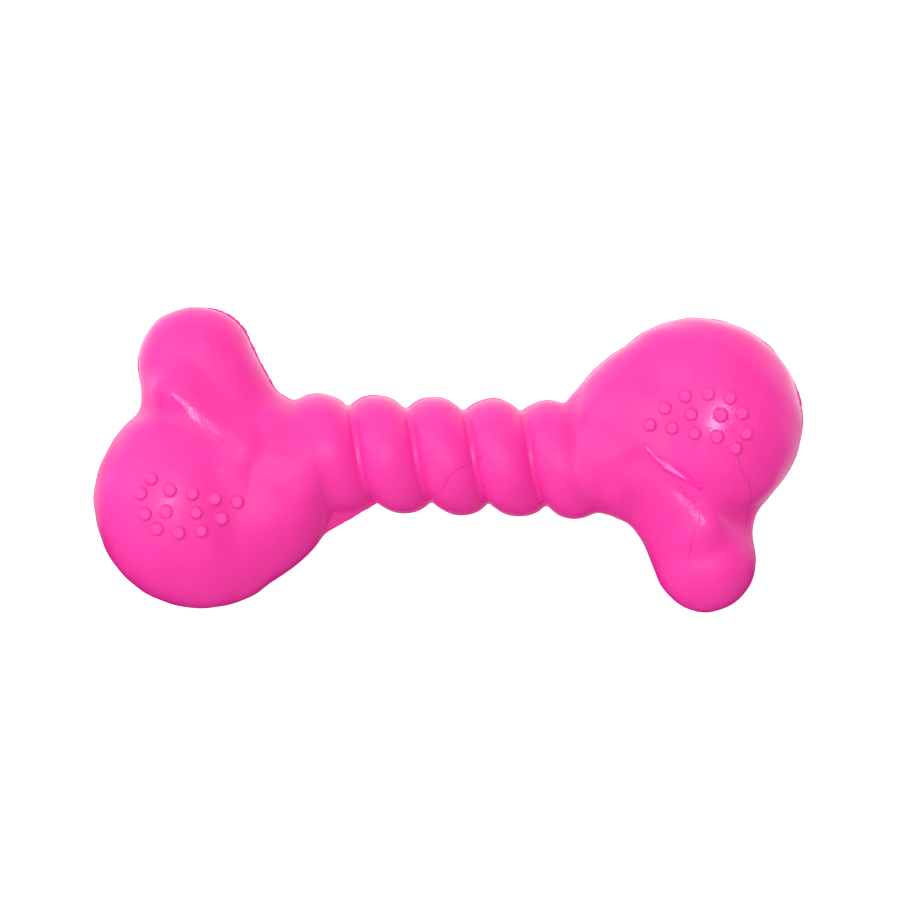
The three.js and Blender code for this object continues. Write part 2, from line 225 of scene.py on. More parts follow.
def pillow(x, y, z, lobe, lean=0.0):
    """A lobe filled out to its depth: the fuller it is, the flatter its top and the steeper its sides.

    A lean makes it thicker by that share for each millimetre towards its big end.
    """
    big, small, fullness = lobe
    outline, along = lobe_outline(x, y, big, small)
    share = np.clip(along, 0, 1)
    share = share * share * (3 - 2 * share)
    radius = big.radius * (1 - share) + small.radius * share
    depth = big.depth * (1 - share) + small.depth * share
    reach = math.hypot(small.x - big.x, small.y - big.y)
    depth = depth * (1 - lean * np.clip(reach * along, -big.radius, big.radius + reach))
    from_middle = np.maximum(1 + outline / radius, 0)
    fill = from_middle ** fullness + (np.abs(z) / depth) ** fullness
    return (fill ** (1 / fullness) - 1) * radius


def shoulder_wall(x, y, z, end):
    """The sloping wall at which the knob stops short of the limb, above zero on the limb's side."""
    beyond = np.full(x.shape, np.inf)
    for (ax, ay), (bx, by) in zip(end.valley, end.valley[1:]):
        length = math.hypot(bx - ax, by - ay)
        beyond = np.minimum(beyond, ((y - ay) * (bx - ax) - (x - ax) * (by - ay)) / length)
    return beyond * math.sin(SHOULDER_TILT) + (np.abs(z) - end.valley_depth) * math.cos(SHOULDER_TILT)


def limb_and_knob(x, y, z, end):
    """The limb, bent from the shaft into the arm with a ridge along it, and the knob against its side."""
    arm = run_together(pillow(x, y, z, end.arm), pillow(x, y, z, end.ridge), RIDGE_CREASE)
    limb = run_together(arm, pillow(x, y, z, end.neck), LIMB_CREASE)
    knob = run_together(pillow(x, y, z, end.knob, end.lean), pillow(x, y, z, end.throat), THROAT_CREASE)
    return limb, cut_away(knob, -shoulder_wall(x, y, z, end), end.shoulder)


def bone_end(x, y, z, end):
    limb, knob = limb_and_knob(x, y, z, end)
    crease = end.crease + (end.notch - end.crease) * np.exp(-(z / NOTCH_HEIGHT) ** 2)
    return run_together(limb, knob, crease)


def rib_radius(x, y, z):
    """The shaft's radius on its screw rib: a low arch, with a flat groove between it and the next turn."""
    turn = np.arctan2(z, y)
    lead = RIB_PITCH * turn / (2 * math.pi) - RIB_BOW * np.abs(np.sin(turn))
    pitches = (x - RIB_GROOVE_AT - lead) / RIB_PITCH
    from_crest = (pitches - np.floor(pitches) - 0.5) * RIB_PITCH
    half_arch = (RIB_PITCH - RIB_GROOVE_WIDTH) / 2
    rise = RIB_CREST - RIB_GROOVE
    arch_radius = (half_arch ** 2 + rise ** 2) / (2 * rise)
    arch = RIB_CREST - arch_radius + np.sqrt(arch_radius ** 2 - from_crest ** 2)
    return -run_together(-arch, -np.full_like(arch, RIB_GROOVE), RIB_CORNER)


def in_groove(x, y, z, margin):
    """Whether places on the skin are in a groove of the shaft, or no more than that far above its floor."""
    return (np.abs(x) < RIB_SEEN) & (rib_radius(x, y, z) < RIB_GROOVE + margin)


def ribbed_shaft(x, y, z):
    round_side = np.hypot(y, z) - rib_radius(x, y, z)
    return np.maximum(round_side, np.abs(x) - RIB_REACH)


def plain_bone(x, y, z):
    """The whole outer form without its small details."""
    form = ribbed_shaft(x, y, z)
    for end in ENDS:
        form = run_together(form, bone_end(x, y, z, end), NECK_CREASE)
    return form


def uneven_waves():
    """Directions and phases of the slow waves in a hand-finished mould, the same in each run."""
    draw = np.random.default_rng(UNEVEN_SEED)
    directions = draw.normal(size=(UNEVEN_WAVES, 3))
    directions /= np.linalg.norm(directions, axis=1)[:, None]
    lengths = draw.uniform(*UNEVEN_LENGTHS, UNEVEN_WAVES)
    phases = draw.uniform(0, 2 * math.pi, UNEVEN_WAVES)
    return directions * (2 * math.pi / lengths)[:, None], phases


WAVES = uneven_waves()


def unevenness(x, y, z):
    return UNEVEN_HEIGHT * sum(
        np.sin(x * wave[0] + y * wave[1] + z * wave[2] + phase) for wave, phase in zip(*WAVES)
    )


def skin_heights(x, y):
    """The height of the plain form over some places."""
    low, high = np.zeros(len(x)), np.full(len(x), 2 * REST_DEPTH)
    for _ in range(HALVINGS):
        middle = (low + high) / 2
        within = plain_bone(x, y, middle) < 0
        low = np.where(within, middle, low)
        high = np.where(within, high, middle)
    return low


def nub_seats():
    """Each nub's place and the depth of the skin under it."""
    spots = []
    for end in ENDS:
        cosine, sine = math.cos(end.nub_turn), math.sin(end.nub_turn)
        for along, across in NUB_PLACES:
            spots.append((
                end.nub_x + along * cosine - across * sine,
                end.nub_y + along * sine + across * cosine,
            ))
    x, y = np.array(spots).T
    return np.column_stack([x, y, skin_heights(x, y)])


NUB_SEATS = nub_seats()


def raised(past_side, over_top):
    """A stud or a bar with rounded edges, from the distances past its side and over its top."""
    side, top = past_side + EDGE_ROUND, over_top + EDGE_ROUND
    rounded = np.hypot(np.maximum(side, 0), np.maximum(top, 0)) - EDGE_ROUND
    return rounded + np.minimum(np.maximum(side, top), 0)


def with_nubs(form, x, y, z):
    form = form.copy()
    for nub_x, nub_y, seat in NUB_SEATS:
        from_axis = np.hypot(x - nub_x, y - nub_y)
        near = np.flatnonzero(from_axis < 2 * NUB_RADIUS)
        stud = raised(from_axis[near] - NUB_RADIUS, np.abs(z[near]) - seat - NUB_HEIGHT)
        form[near] = run_together(form[near], stud, NUB_FILLET)
    return form


def beside(x, y, path):
    """The distance to a line through some places, and the third number of its places where it is nearest."""
    apart = np.full(x.shape, np.inf)
    carried = np.zeros(x.shape)
    for start, stop in zip(path, path[1:]):
        ahead = (stop[0] - start[0], stop[1] - start[1])
        share = ((x - start[0]) * ahead[0] + (y - start[1]) * ahead[1]) / (ahead[0] ** 2 + ahead[1] ** 2)
        share = np.clip(share, 0, 1)
        here = np.hypot(x - start[0] - share * ahead[0], y - start[1] - share * ahead[1])
        carried = np.where(here < apart, start[2] + share * (stop[2] - start[2]), carried)
        apart = np.minimum(apart, here)
    return apart, carried


def bar_tops(end):
    """The shoulder bar's path with the height of its top, a little proud of the skin."""
    x, y, _ = np.array(end.shoulder_bar.path).T
    return np.column_stack([x, y, skin_heights(x, y) + BAR_RISE * end.shoulder_bar.polish])


BAR_TOPS = [bar_tops(end) for end in ENDS]


def with_shoulder_bars(form, x, y, z):
    """The form with a level bar along the shoulder of each knob, on the front."""
    form = form.copy()
    for end, tops in zip(ENDS, BAR_TOPS):
        apart, half_width = beside(x, y, end.shoulder_bar.path)
        near = np.flatnonzero((apart < BAR_REACH) & (z > 0))
        top = beside(x[near], y[near], tops)[1]
        bar = raised(apart[near] - half_width[near] - BAR_MARGIN, z[near] - top)
        form[near] = run_together(form[near], bar, BAR_CREASE)
    return form


def web_plate(x, y, z):
    """The flat sheet of rubber left between the left knob and the shaft."""
    sides = []
    for (ax, ay), (bx, by) in zip(WEB_CORNERS, WEB_CORNERS[1:] + WEB_CORNERS[:1]):
        length = math.hypot(bx - ax, by - ay)
        sides.append(((x - ax) * (by - ay) - (y - ay) * (bx - ax)) / length)
    # The second side is the free edge, and the web thins towards it
    from_edge = np.maximum(-sides[1], 0)
    thickness = np.minimum(WEB_EDGE + WEB_TAPER * from_edge, WEB_THICKNESS)
    return np.maximum(np.abs(z) - thickness / 2, np.maximum.reduce(sides))


def port_hole(x, y, z):
    """The stepped hole in the back that the squeaker is pressed into."""
    from_axis = np.hypot(x - PORT_X, y - PORT_Y)
    recess = np.maximum(from_axis - FLANGE_RADIUS - SEAT_GAP, z - PORT_SEAT)
    bore = np.maximum(from_axis - TUBE_RADIUS - SEAT_GAP, z)
    return np.minimum(recess, bore)


def outer_skin(points):
    """The outside of the bone, with its details worked out only close to it."""
    x, y, z = points.T
    form = plain_bone(x, y, z)
    near = np.flatnonzero(np.abs(form) < DETAIL_BAND)
    x, y, z = x[near], y[near], z[near]
    detailed = form[near] + unevenness(x, y, z)
    detailed = run_together(detailed, web_plate(x, y, z), WEB_FILLET)
    detailed = with_shoulder_bars(detailed, x, y, z)
    detailed = with_nubs(detailed, x, y, z)
    detailed = np.maximum(detailed, np.abs(z) - REST_DEPTH)
    form[near] = cut_away(detailed, port_hole(x, y, z), PORT_EDGE)
    return form


def cavity(points):
    """The hollow inside, a wall's thickness in, with a boss left round the port."""
    x, y, z = points.T
    form = np.maximum(np.hypot(y, z) - RIB_GROOVE, np.abs(x) - RIB_REACH)
    for end in ENDS:
        form = np.minimum(form, bone_end(x, y, z, end))
    form = form + WALL
    from_axis = np.hypot(x - PORT_X, y - PORT_Y)
    boss_radius = FLANGE_RADIUS + SEAT_GAP + PORT_BOSS
    boss = np.maximum(from_axis - boss_radius, z - PORT_SEAT - PORT_LIP)
    form = cut_away(form, boss, PORT_EDGE)
    bore = np.maximum(from_axis - TUBE_RADIUS - SEAT_GAP, z - PORT_FACE - WALL)
    return np.minimum(form, np.maximum(bore, PORT_SEAT - z))


# Nets over a distance field

CORNERS = np.array([(i, j, k) for i in (0, 1) for j in (0, 1) for k in (0, 1)])
CELL_EDGES = [
    (a, b) for a in range(8) for b in range(a + 1, 8) if np.abs(CORNERS[a] - CORNERS[b]).sum() == 1
]


def grid_values(form, low, counts, cell):
    """A form's distances on a grid, one slice across X at a time."""
    across, up = (low[axis] + cell * np.arange(counts[axis]) for axis in (1, 2))
    y, z = np.meshgrid(across, up, indexing="ij")
    values = np.empty(counts)
    for i in range(counts[0]):
        slice_points = np.column_stack([np.full(y.size, low[0] + cell * i), y.ravel(), z.ravel()])
        values[i] = form(slice_points).reshape(y.shape)
    return values


def net_points(values, low, cell):
    """One point in each grid cell that the surface crosses, and the number of each cell's point."""
    inside = values < 0
    counts = tuple(size - 1 for size in values.shape)
    corners_inside = np.zeros(counts, np.uint8)
    for i, j, k in CORNERS:
        corners_inside += inside[i:i + counts[0], j:j + counts[1], k:k + counts[2]]
    cells = np.argwhere((corners_inside > 0) & (corners_inside < 8))
    corner_values = np.stack([values[tuple((cells + corner).T)] for corner in CORNERS], axis=1)
    total = np.zeros(cells.shape)
    crossings = np.zeros(len(cells))
    for a, b in CELL_EDGES:
        first, second = corner_values[:, a], corner_values[:, b]
        crossed = np.flatnonzero((first < 0) != (second < 0))
        share = first[crossed] / (first[crossed] - second[crossed])
        total[crossed] += CORNERS[a] + share[:, None] * (CORNERS[b] - CORNERS[a])
        crossings[crossed] += 1
    numbers = np.full(counts, -1)
    numbers[tuple(cells.T)] = np.arange(len(cells))
    return low + cell * (cells + total / crossings[:, None]), numbers


def net_quads(values, numbers):
    """A quad round each grid edge that the surface crosses, facing out."""
    inside = values < 0
    quads = []
    for axis in range(3):
        others = [other for other in range(3) if other != axis]
        low_side = np.take(inside, range(inside.shape[axis] - 1), axis)
        high_side = np.take(inside, range(1, inside.shape[axis]), axis)
        edges = np.argwhere(low_side != high_side)
        within = np.ones(len(edges), bool)
        for other in others:
            within &= (edges[:, other] > 0) & (edges[:, other] < inside.shape[other] - 1)
        edges = edges[within]
        ring = []
        for back_first, back_second in ((1, 1), (0, 1), (0, 0), (1, 0)):
            cells = edges.copy()
            cells[:, others[0]] -= back_first
            cells[:, others[1]] -= back_second
            ring.append(numbers[tuple(cells.T)])
        quad = np.stack(ring, axis=1)
        leaving = low_side[tuple(edges.T)]
        # The ring runs the other way round Y than round X and Z
        forward = leaving if axis != 1 else ~leaving
        quads.append(np.where(forward[:, None], quad, quad[:, ::-1]))
    return np.concatenate(quads)


def slope_of(form, points):
    slopes = np.empty(points.shape)
    for axis in range(3):
        shift = np.zeros(3)
        shift[axis] = SLOPE_STEP
        slopes[:, axis] = (form(points + shift) - form(points - shift)) / (2 * SLOPE_STEP)
    return slopes


def settle(points, form, most):
    """Moves points straight onto a form's surface, by at most that far."""
    slopes = slope_of(form, points)
    steps = form(points) / np.maximum((slopes * slopes).sum(axis=1), LEAST_SLOPE)
    return points - slopes * np.clip(steps, -most, most)[:, None]


def relax(points, quads):
    """Moves each point to the middle of its neighbours."""
    total = np.zeros(points.shape)
    count = np.zeros(len(points))
    for side in range(4):
        ends = quads[:, side], quads[:, (side + 1) % 4]
        for near, far in (ends, ends[::-1]):
            np.add.at(total, near, points[far])
            np.add.at(count, near, 1)
    return total / np.maximum(count, 1)[:, None]


def net_over(form, low, high, cell):
    """A net of even quads on a form's surface inside a box."""
    low = np.array(low)
    counts = tuple(np.ceil((np.array(high) - low) / cell).astype(int) + 1)
    values = grid_values(form, low, counts, cell)
    points, numbers = net_points(values, low, cell)
    quads = net_quads(values, numbers)
    for _ in range(NET_ROUNDS):
        points = settle(relax(points, quads), form, cell)
    return settle(points, form, cell), quads


# The pieces of rubber

def places_of(verts):
    return np.array([vert.co for vert in verts]) / MM - SHIFT


def net_of(points, quads):
    """A bmesh in metres of points in millimetres and the quads between them."""
    mesh = bpy.data.meshes.new("net")
    mesh.from_pydata((points + SHIFT) * MM, [], quads)
    net = bmesh.new()
    net.from_mesh(mesh)
    bpy.data.meshes.remove(mesh)
    return net


def fine_zone(x, y, z):
    """Where the skin needs smaller cells: at the nubs, the shoulder bars and the grooves."""
    fine = np.zeros(len(x), bool)
    for nub_x, nub_y, _ in NUB_SEATS:
        fine |= np.hypot(x - nub_x, y - nub_y) < NUB_RADIUS + FINE_MARGIN
    for end in ENDS:
        apart, half_width = beside(x, y, end.shoulder_bar.path)
        fine |= (apart < half_width + BAR_MARGIN + FINE_MARGIN) & (z > 0)
    return fine | in_groove(x, y, z, FINE_MARGIN)


def refine(net):
    """Halves the cells of the outer net in the fine zone, and settles the new points on the skin."""
    fine = fine_zone(*places_of(net.verts).T)
    net.verts.index_update()
    edges = [edge for edge in net.edges if all(fine[vert.index] for vert in edge.verts)]
    added = bmesh.ops.subdivide_edges(net, edges=edges, cuts=1, use_grid_fill=True)["geom_inner"]
    verts = [item for item in added if isinstance(item, bmesh.types.BMVert)]
    settled = settle(places_of(verts), outer_skin, SKIN_CELL / 2)
    for vert, place in zip(verts, (settled + SHIFT) * MM):
        vert.co = place


def rubber_net(form, side, cell):
    """A form's net on one side of the seam, as a bmesh in metres that ends in the seam plane."""
    reach = np.array([cad_high.x - cad_low.x, cad_high.y - cad_low.y]) / 2 / MM + GRID_MARGIN
    low = np.array([-reach[0] - SHIFT[0], -reach[1] - SHIFT[1], -GRID_MARGIN])
    high = np.array([reach[0] - SHIFT[0], reach[1] - SHIFT[1], REST_DEPTH + GRID_MARGIN])
    if side < 0:
        low[2], high[2] = -high[2], -low[2]
    points, quads = net_over(form, low, high, cell)
    net = net_of(points, quads.tolist())
    bmesh.ops.delete(net, geom=[vert for vert in net.verts if not vert.link_faces], context="VERTS")
    bmesh.ops.bisect_plane(
        net,
        geom=net.verts[:] + net.edges[:] + net.faces[:],
        dist=SEAM_SNAP * MM,
        plane_co=(0, 0, SHIFT[2] * MM),
        plane_no=(0, 0, side),
        clear_inner=True,
    )
    return net


def piece_from(net, name):
    mesh = bpy.data.meshes.new(name)
    net.to_mesh(mesh)
    net.free()
    piece = bpy.data.objects.new(name, mesh)
    bpy.context.scene.collection.objects.link(piece)
    return piece


def rim_of(net):
    return [edge for edge in net.edges if len(edge.link_faces) == 1]


def half_shell(name, net, side):
    """One hollow half of the bone: its outer net, its inside, and the flat land between them at the seam."""
    inside = rubber_net(cavity, side, CAVITY_CELL)
    bmesh.ops.reverse_faces(inside, faces=inside.faces[:])
    lining = bpy.data.meshes.new("lining")
    inside.to_mesh(lining)
    inside.free()
    net.from_mesh(lining)
    bpy.data.meshes.remove(lining)
    bmesh.ops.triangle_fill(net, use_beauty=True, edges=rim_of(net), normal=(0, 0, -side))
    bmesh.ops.recalc_face_normals(net, faces=net.faces[:])
    for face in net.faces:
        face.smooth = True
    return piece_from(net, name)


# The fin of mould flash round the seam

FLASH_STEP = 0.35
FLASH_ROOT = 0.5
FLASH_WIDTH = 0.2
FLASH_ROOT_THICKNESS = 0.5
FLASH_TIP_THICKNESS = 0.12
FLASH_WAVES = (31.0, 13.7, 6.1)
TONGUE_WAVES = (4.3, 2.1, 1.3)
FLASH_SEED, TONGUE_SEED = 3, 5
FlashTongue = namedtuple("FlashTongue", "x y reach width")
FLASH_TONGUES = [
    FlashTongue(-46.5, 25.8, 6.0, 0.35),
    FlashTongue(-39.3, 15.5, 5.0, 0.25),
    FlashTongue(73.9, 13.0, 4.0, 0.3),
    FlashTongue(68.0, 25.0, 4.0, 0.12),
    FlashTongue(-20.0, -13.5, 5.0, 0.2),
]


def seam_loop(net):
    """The points of a net's rim in order, in millimetres."""
    rim = rim_of(net)
    links = {}
    for edge in rim:
        for vert in edge.verts:
            links.setdefault(vert, []).append(edge.other_vert(vert))
    start = rim[0].verts[0]
    loop = [start]
    before, here = start, links[start][0]
    while here is not start:
        loop.append(here)
        onward = [vert for vert in links[here] if vert is not before]
        before, here = here, onward[0]
    return places_of(loop)


def even_loop(points, step):
    """A closed loop of points, evenly spaced along it."""
    closed = np.vstack([points, points[:1]])
    places = np.concatenate([[0], np.cumsum(np.linalg.norm(np.diff(closed, axis=0), axis=1))])
    count = int(places[-1] / step)
    wanted = np.linspace(0, places[-1], count, endpoint=False)
    return np.column_stack([np.interp(wanted, places, closed[:, axis]) for axis in range(3)]), wanted


def ragged(along, wavelengths, seed):
    """A torn edge's ups and downs between 0 and 1 along its length."""
    draw = np.random.default_rng(seed)
    wave = sum(np.sin(2 * math.pi * along / length + draw.uniform(0, 2 * math.pi)) for length in wavelengths)
    return 0.5 + 0.5 * wave / len(wavelengths)


def mould_flash(loop):
    """The thin fin along the seam, wider at its tongues, with its root inside the rubber."""
    points, along = even_loop(loop, FLASH_STEP)
    points = settle(points, outer_skin, FLASH_STEP)
    outward = slope_of(outer_skin, points)
    outward[:, 2] = 0
    outward /= np.linalg.norm(outward, axis=1)[:, None]
    width = FLASH_WIDTH * ragged(along, FLASH_WAVES, FLASH_SEED)
    for tongue in FLASH_TONGUES:
        apart = np.hypot(points[:, 0] - tongue.x, points[:, 1] - tongue.y)
        torn = 0.5 + ragged(along, TONGUE_WAVES, TONGUE_SEED)
        width += tongue.width * np.exp(-(apart / tongue.reach) ** 2) * torn
    up = np.array([0, 0, 1])
    section = [
        (-FLASH_ROOT, FLASH_ROOT_THICKNESS / 2),
        (width[:, None], FLASH_TIP_THICKNESS / 2),
        (width[:, None], -FLASH_TIP_THICKNESS / 2),
        (-FLASH_ROOT, -FLASH_ROOT_THICKNESS / 2),
    ]
    rings = np.stack([points + outward * reach + up * height for reach, height in section], axis=1)
    count, corners = rings.shape[:2]
    quads = []
    for ring in range(count):
        following = (ring + 1) % count
        for corner in range(corners):
            neighbour = (corner + 1) % corners
            quads.append([
                ring * corners + corner,
                following * corners + corner,
                following * corners + neighbour,
                ring * corners + neighbour,
            ])
    net = net_of(rings.reshape(-1, 3), quads)
    bmesh.ops.recalc_face_normals(net, faces=net.faces[:])
    return piece_from(net, "mould_flash")


# Finishes

class Nodes:
    """A node tree, to which add() adds any node."""

    def __init__(self, tree):
        self.tree = tree
        tree.nodes.clear()

    def add(self, kind, settings=None, sockets=None, output=0):
        """Adds a node, makes its settings, fills or links its sockets, and gives one of its outputs."""
        node = self.tree.nodes.new("ShaderNode" + kind)
        for name, value in (settings or {}).items():
            setattr(node, name, value)
        for name, value in (sockets or {}).items():
            if isinstance(value, Wire):
                self.tree.links.new(value.socket, node.inputs[name])
            else:
                node.inputs[name].default_value = value
        return Wire(self, node.outputs[output]) if len(node.outputs) else None


class Wire:
    """An output of a node. Sums on it add Math nodes to its tree."""

    def __init__(self, nodes, socket):
        self.nodes = nodes
        self.socket = socket

    def math(self, operation, first, second):
        return self.nodes.add("Math", {"operation": operation}, {0: first, 1: second})

    def __add__(self, other):
        return self.math("ADD", self, other)

    def __sub__(self, other):
        return self.math("SUBTRACT", self, other)

    def __rsub__(self, other):
        return self.math("SUBTRACT", other, self)

    def __mul__(self, other):
        return self.math("MULTIPLY", self, other)

    def over(self, other):
        return self.math("GREATER_THAN", self, other)

    def at_most(self, other):
        return self.math("MINIMUM", self, other)

    def at_least(self, other):
        return self.math("MAXIMUM", self, other)

    def as_share(self):
        """The value held between 0 and 1."""
        return self.at_least(0.0).at_most(1.0)

    def ramp(self, none, full):
        """A share that is 0 at one value and 1 at another."""
        return ((self - none) * (1 / (full - none))).as_share()

    __radd__ = __add__
    __rmul__ = __mul__


def new_finish(name):
    material = bpy.data.materials.new(name)
    material.use_nodes = True
    return material, Nodes(material.node_tree)


def vectors(nodes, operation, first, second, output=0):
    return nodes.add("VectorMath", {"operation": operation}, {0: first, 1: second}, output)


def scaled(nodes, vector, scale):
    return nodes.add("VectorMath", {"operation": "SCALE"}, {0: vector, "Scale": scale})


def noise(nodes, place, size, detail=2.0, roughness=0.5):
    """Noise with grains of about that size in millimetres."""
    sockets = {"Vector": place, "Scale": 1 / (size * MM), "Detail": detail, "Roughness": roughness}
    return nodes.add("TexNoise", None, sockets)


def stretched(nodes, place, sizes):
    """A place with each axis stretched, so that noise on it makes streaks of those sizes in millimetres."""
    scale = Vector((1 / (size * MM) for size in sizes))
    return vectors(nodes, "MULTIPLY", place, scale)


def mixed_colour(nodes, share, first, second):
    """A colour that goes from the first to the second as the share rises, by a Mix node's colour sockets."""
    return nodes.add("Mix", {"data_type": "RGBA"}, {0: share, 6: first, 7: second}, 2)


# Fine flow lines that the rubber kept from the mould, on the front
FlowLine = namedtuple("FlowLine", "path depth")
FLOW_LINES = [
    FlowLine([(-1.5, -6.9), (0.0, -4.4), (1.4, -3.0), (4.2, -1.6), (8.1, 1.2)], 1.0),
    FlowLine([(-5.3, -2.6), (-3.4, 1.4)], 0.8),
    FlowLine([(60.5, 1.9), (61.9, -1.6), (63.6, -4.6), (64.0, -6.8), (63.0, -13.0)], 0.9),
    FlowLine([(53.2, -10.5), (53.1, -12.4), (52.2, -13.6), (51.0, -20.5)], 0.8),
    FlowLine([(47.6, 23.5), (48.5, 20.5), (48.7, 15.7)], 0.35),
    FlowLine([(43.3, 20.8), (45.4, 19.8), (46.1, 18.0), (45.6, 15.8)], 0.35),
    FlowLine([(-66.5, 20.0), (-62.0, 22.5), (-58.5, 22.9)], 0.3),
]
FLOW_LINE_WIDTH = 0.22
FLOW_LINE_WANDER = 0.7
FLOW_WANDER_SIZE = 2.2


def flow_lines(nodes, place):
    """The depth of the flow lines of the front, and 0 off them."""
    wander_sockets = {"Vector": place, "Scale": 1 / (FLOW_WANDER_SIZE * MM)}
    wander = vectors(nodes, "SUBTRACT", nodes.add("TexNoise", None, wander_sockets, "Color"), (0.5, 0.5, 0.5))
    wandered = vectors(nodes, "ADD", place, scaled(nodes, wander, FLOW_LINE_WANDER * MM))
    flat = vectors(nodes, "MULTIPLY", wandered, (1, 1, 0))
    deepest = 0.0
    for line in FLOW_LINES:
        places = [Vector(((x + SHIFT[0]) * MM, (y + SHIFT[1]) * MM, 0)) for x, y in line.path]
        for start, stop in zip(places, places[1:]):
            ahead = stop - start
            offset = vectors(nodes, "SUBTRACT", flat, start)
            share = vectors(nodes, "DOT_PRODUCT", offset, ahead / ahead.length_squared, "Value").as_share()
            apart = vectors(nodes, "DISTANCE", offset, scaled(nodes, ahead, share), "Value")
            deepest = ((1 - apart * (1 / (FLOW_LINE_WIDTH * MM))) * line.depth).at_least(deepest)
    height = nodes.add("SeparateXYZ", None, {0: place}, "Z")
    return deepest * height.over(SHIFT[2] * MM)


RUBBER_PINK = (0.96, 0.030, 0.388, 1)
RUBBER_DEEP = (0.93, 0.022, 0.352, 1)
RUBBER_PALE = (0.97, 0.054, 0.440, 1)
RUBBER_BLOOM = (0.98, 0.42, 0.68, 1)
RUBBER_LINE = (0.70, 0.012, 0.20, 1)
SUBSURFACE_SHARE = 0.12
SUBSURFACE_RADII = (1.0, 0.2, 0.5)
SUBSURFACE_DEPTH = 2.0
MOTTLE_SIZE = 16.0
CLOUD_SIZE = 5.0
PEEL_SIZE = 1.9
PIT_SIZE = 0.8
GRAIN_SIZE = 0.45
GRAIN_HARSHNESS = 0.6
FINE_DETAIL = 3.0
STREAK_SIZES = (9.0, 0.5, 1.2)
STREAK_DETAIL = 2.0
DEEP_TO_PINK = (0.35, 0.805)
PINK_TO_PALE = (0.55, 1.05)
MOST_PALE = 0.5
SPECK_RADIUS = 0.14
SPECKS = ((5.5, 0.8), (3.1, 0.4))
MATT_ROUGHNESS = 0.50
LEAST_ROUGHNESS = 0.2
WORN_GLOSS = 0.29
EDGE_GLOSS = 0.26
EDGE_BLEND = 0.5
PEEL_GLOSS = 0.12
MOTTLE_GLOSS = 0.08
WEAR_GAIN = 2.0
PIT_LOSS = 1.2
GRAIN_BUMP, WORN_GRAIN_BUMP = 0.6, 1.2
PEEL_BUMP, WORN_PEEL_BUMP = 0.9, 0.4
STREAK_BUMP = 0.5
LINE_BUMP = 1.5
BUMP_DEPTH = 0.06
BUMP_STRENGTH = 0.35


def rubber_specks(nodes, place):
    """Pale specks of dust, sparse and strong or closer and faint."""
    specks = 0.0
    for spacing, share in SPECKS:
        apart = nodes.add("TexVoronoi", None, {"Vector": place, "Scale": 1 / (spacing * MM)}, "Distance")
        specks = ((1 - (apart * (spacing / SPECK_RADIUS)).at_most(1.0)) * share).at_least(specks)
    return specks


def pink_rubber():
    """Moulded rubber: mottled and finely grained, with flow lines, pale specks and pitted glossy wear."""
    material, nodes = new_finish("pink_rubber")
    place = nodes.add("TexCoord", None, None, "Object")
    worn = nodes.add("Attribute", {"attribute_name": "worn"}, None, "Fac")
    turned = nodes.add("LayerWeight", None, {"Blend": EDGE_BLEND}, "Facing")
    mottle = noise(nodes, place, MOTTLE_SIZE, FINE_DETAIL)
    cloud = noise(nodes, place, CLOUD_SIZE)
    peel = noise(nodes, place, PEEL_SIZE)
    pits = noise(nodes, place, PIT_SIZE)
    grain = noise(nodes, place, GRAIN_SIZE, FINE_DETAIL, GRAIN_HARSHNESS)
    streak_place = stretched(nodes, place, STREAK_SIZES)
    streaks = nodes.add("TexNoise", None, {"Vector": streak_place, "Scale": 1.0, "Detail": STREAK_DETAIL})
    line = flow_lines(nodes, place)

    colour = mixed_colour(nodes, mottle.ramp(*DEEP_TO_PINK), RUBBER_DEEP, RUBBER_PINK)
    colour = mixed_colour(nodes, cloud.ramp(*PINK_TO_PALE) * MOST_PALE, colour, RUBBER_PALE)
    colour = mixed_colour(nodes, rubber_specks(nodes, place), colour, RUBBER_BLOOM)
    colour = mixed_colour(nodes, line, colour, RUBBER_LINE)

    polish = (worn * WEAR_GAIN - pits * PIT_LOSS).as_share()
    matt = MATT_ROUGHNESS + (peel - 0.5) * PEEL_GLOSS + (mottle - 0.5) * MOTTLE_GLOSS
    roughness = (matt - polish * WORN_GLOSS - turned * EDGE_GLOSS).at_least(LEAST_ROUGHNESS)
    height = grain * (GRAIN_BUMP + polish * WORN_GRAIN_BUMP) + peel * (PEEL_BUMP + polish * WORN_PEEL_BUMP)
    height = height + streaks * STREAK_BUMP - line * LINE_BUMP
    bump_sockets = {"Strength": BUMP_STRENGTH, "Distance": BUMP_DEPTH * MM, "Height": height}
    shader = nodes.add("BsdfPrincipled", None, {
        "Base Color": colour,
        "Roughness": roughness,
        "Normal": nodes.add("Bump", None, bump_sockets),
        "Subsurface Weight": SUBSURFACE_SHARE,
        "Subsurface Radius": SUBSURFACE_RADII,
        "Subsurface Scale": SUBSURFACE_DEPTH * MM,
    })
    nodes.add("OutputMaterial", None, {"Surface": shader})
    return material


PLASTIC_CLOUDY = (0.80, 0.77, 0.68, 1)
PLASTIC_CLEAR = (0.90, 0.87, 0.79, 1)
PLASTIC_CLOUD_SIZE = 3.0
PLASTIC_GRAIN_SIZE = 0.3
PLASTIC_GRAIN_DEPTH = 0.03
PLASTIC_GRAIN_STRENGTH = 0.2
PLASTIC_ROUGHNESS, CLOUDY_ROUGHNESS = 0.34, 0.15
FILM_DARK = (0.62, 0.55, 0.36, 1)
FILM_PALE = (0.75, 0.68, 0.48, 1)
FILM_LINE_SIZES = (0.15, 0.15, 8.0)
FILM_ROUGHNESS, LINED_ROUGHNESS = 0.15, 0.2


